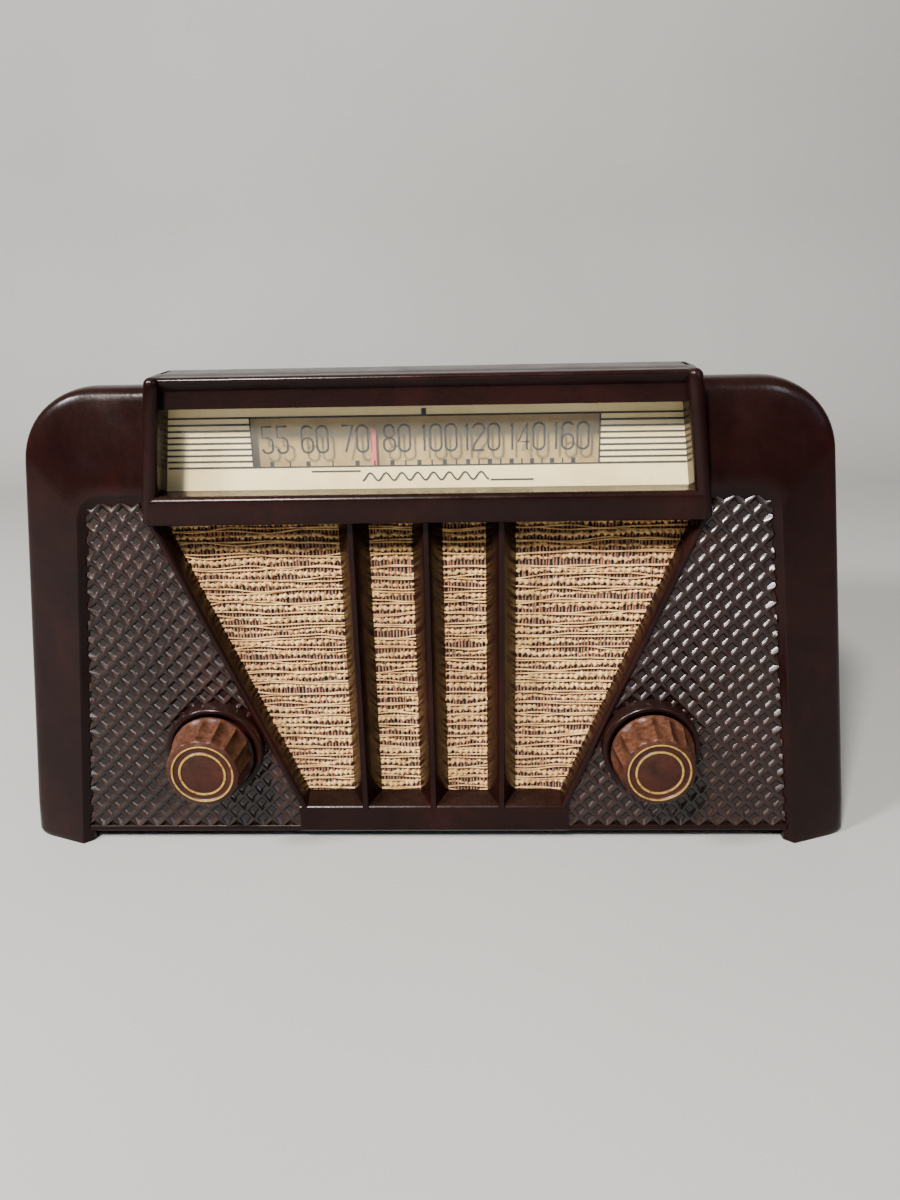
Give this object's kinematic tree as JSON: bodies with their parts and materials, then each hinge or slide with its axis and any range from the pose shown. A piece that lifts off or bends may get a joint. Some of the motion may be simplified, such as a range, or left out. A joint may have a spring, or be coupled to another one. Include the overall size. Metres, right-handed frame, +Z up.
{
  "type": "tabletop radio",
  "caption": "Tabletop valve radio: dark moulded cabinet with leaning sides, raised slide-rule dial, tapered cloth grille with vertical bars, diamond-patterned panels and fluted control knobs.",
  "frame": {"origin": "middle of the footprint, on the surface that the foot rails stand on", "axes": "+X to the right seen from the front, +Y from the dial towards the back cover, +Z up"},
  "size_m": [0.29, 0.172, 0.1623],
  "materials": {
    "cabinet_bakelite": "dark maroon-brown moulded phenolic, polished, dulled by wear",
    "dial_glass": "clear glass",
    "dial_print": "cream paint with brown lines and numerals",
    "backplate_paint": "tan paint",
    "pointer_paint": "faded red paint",
    "steel": "zinc-plated steel",
    "brass": "turned brass",
    "aluminium": "plain aluminium",
    "dial_thread": "waxed dial thread",
    "lamp_glass": "clear glass bulbs",
    "grille_fabric": "slubby woven cloth, straw and brown",
    "baffle_board": "pressed fibreboard",
    "knob_plastic": "reddish-brown moulded plastic with two gold rings",
    "phenolic": "brown phenolic",
    "magnet_iron": "dark iron",
    "cone_paper": "pressed paper and waxed card",
    "copper_wire": "wound copper wire",
    "inlet_rubber": "black rubber"
  },
  "bodies": {
    "radio": {"cabinet": "cabinet_bakelite", "dial_glass": "dial_glass", "dial_scale": "dial_print", "dial_backplate": "backplate_paint", "pointer_rail": "steel", "dial_lamp_holder": "steel", "baffle_screw_left": "steel", "baffle_screw_right": "steel", "tuning_capacitor_frame": "steel", "speaker_frame": "steel", "speaker_screw_1": "steel", "speaker_screw_2": "steel", "speaker_screw_3": "steel", "speaker_screw_4": "steel", "chassis": "steel", "chassis_bolt_left": "steel", "chassis_bolt_right": "steel", "back_screw_1": "steel", "back_screw_2": "steel", "back_screw_3": "steel", "back_screw_4": "steel", "volume_control_nut": "brass", "tuning_bush": "brass", "tuning_bush_nut": "brass", "tuning_capacitor_stator": "aluminium", "if_transformer_first": "aluminium", "if_transformer_second": "aluminium", "dial_cord": "dial_thread", "dial_lamp": "lamp_glass", "rectifier_tube": "lamp_glass", "output_tube": "lamp_glass", "detector_tube": "lamp_glass", "if_amplifier_tube": "lamp_glass", "converter_tube": "lamp_glass", "grille_cloth": "grille_fabric", "grille_baffle": "baffle_board", "back_cover": "baffle_board", "volume_control": "phenolic", "rectifier_socket": "phenolic", "output_socket": "phenolic", "detector_socket": "phenolic", "if_amplifier_socket": "phenolic", "converter_socket": "phenolic", "speaker_magnet": "magnet_iron", "output_transformer_core": "magnet_iron", "filter_capacitor": "cone_paper", "oscillator_coil": "cone_paper", "output_transformer_coil": "copper_wire", "loop_antenna": "copper_wire", "cord_grommet": "inlet_rubber"},
    "volume": {"volume_knob": "knob_plastic", "volume_shaft": "aluminium"},
    "tuning": {"tuning_knob": "knob_plastic", "tuning_shaft": "aluminium"},
    "capacitor_rotor": {"tuning_capacitor_rotor": "aluminium", "dial_drum": "aluminium"},
    "pointer": {"dial_pointer": "pointer_paint"},
    "pulley_left": {"idler_pulley_left": "brass"},
    "pulley_right": {"idler_pulley_right": "brass"},
    "cone": {"speaker_cone": "cone_paper"}
  },
  "joints": [
    {"name": "volume_turn", "type": "hinge", "parent": "radio", "child": "volume", "pos_m": [-0.0734, -0.072, 0.0385], "axis": [0, 1, 0], "range_deg": [0, 300]},
    {"name": "rotor_turn", "type": "hinge", "parent": "radio", "child": "capacitor_rotor", "pos_m": [0.05, -0.008, 0.074], "axis": [0, 1, 0], "range_deg": [-61.4, 118.6]},
    {"name": "tuning_turn", "type": "hinge", "parent": "radio", "child": "tuning", "pos_m": [0.0734, -0.072, 0.0385], "axis": [0, 1, 0], "range_deg": [-666.2, 1285.8]},
    {"name": "pointer_slide", "type": "slide", "parent": "radio", "child": "pointer", "axis": [1, 0, 0], "range_m": [-0.03489, 0.06731]},
    {"name": "left_pulley_turn", "type": "hinge", "parent": "radio", "child": "pulley_left", "pos_m": [-0.072, -0.008, 0.112], "axis": [0, 1, 0], "range_deg": [-333.3, 642.8]},
    {"name": "right_pulley_turn", "type": "hinge", "parent": "radio", "child": "pulley_right", "pos_m": [0.072, -0.008, 0.112], "axis": [0, 1, 0], "range_deg": [-333.3, 642.8]},
    {"name": "cone_move", "type": "slide", "parent": "radio", "child": "cone", "axis": [0, 1, 0], "range_m": [-0.0008, 0.0008], "stiffness_N_per_m": 1500}
  ],
  "couplings": [
    {"joint": "tuning_turn", "follows": "rotor_turn", "ratio": 10.833},
    {"joint": "pointer_slide", "follows": "rotor_turn", "m_per_rad": 0.032468},
    {"joint": "left_pulley_turn", "follows": "rotor_turn", "ratio": 5.4113},
    {"joint": "right_pulley_turn", "follows": "rotor_turn", "ratio": 5.4113}
  ]
}
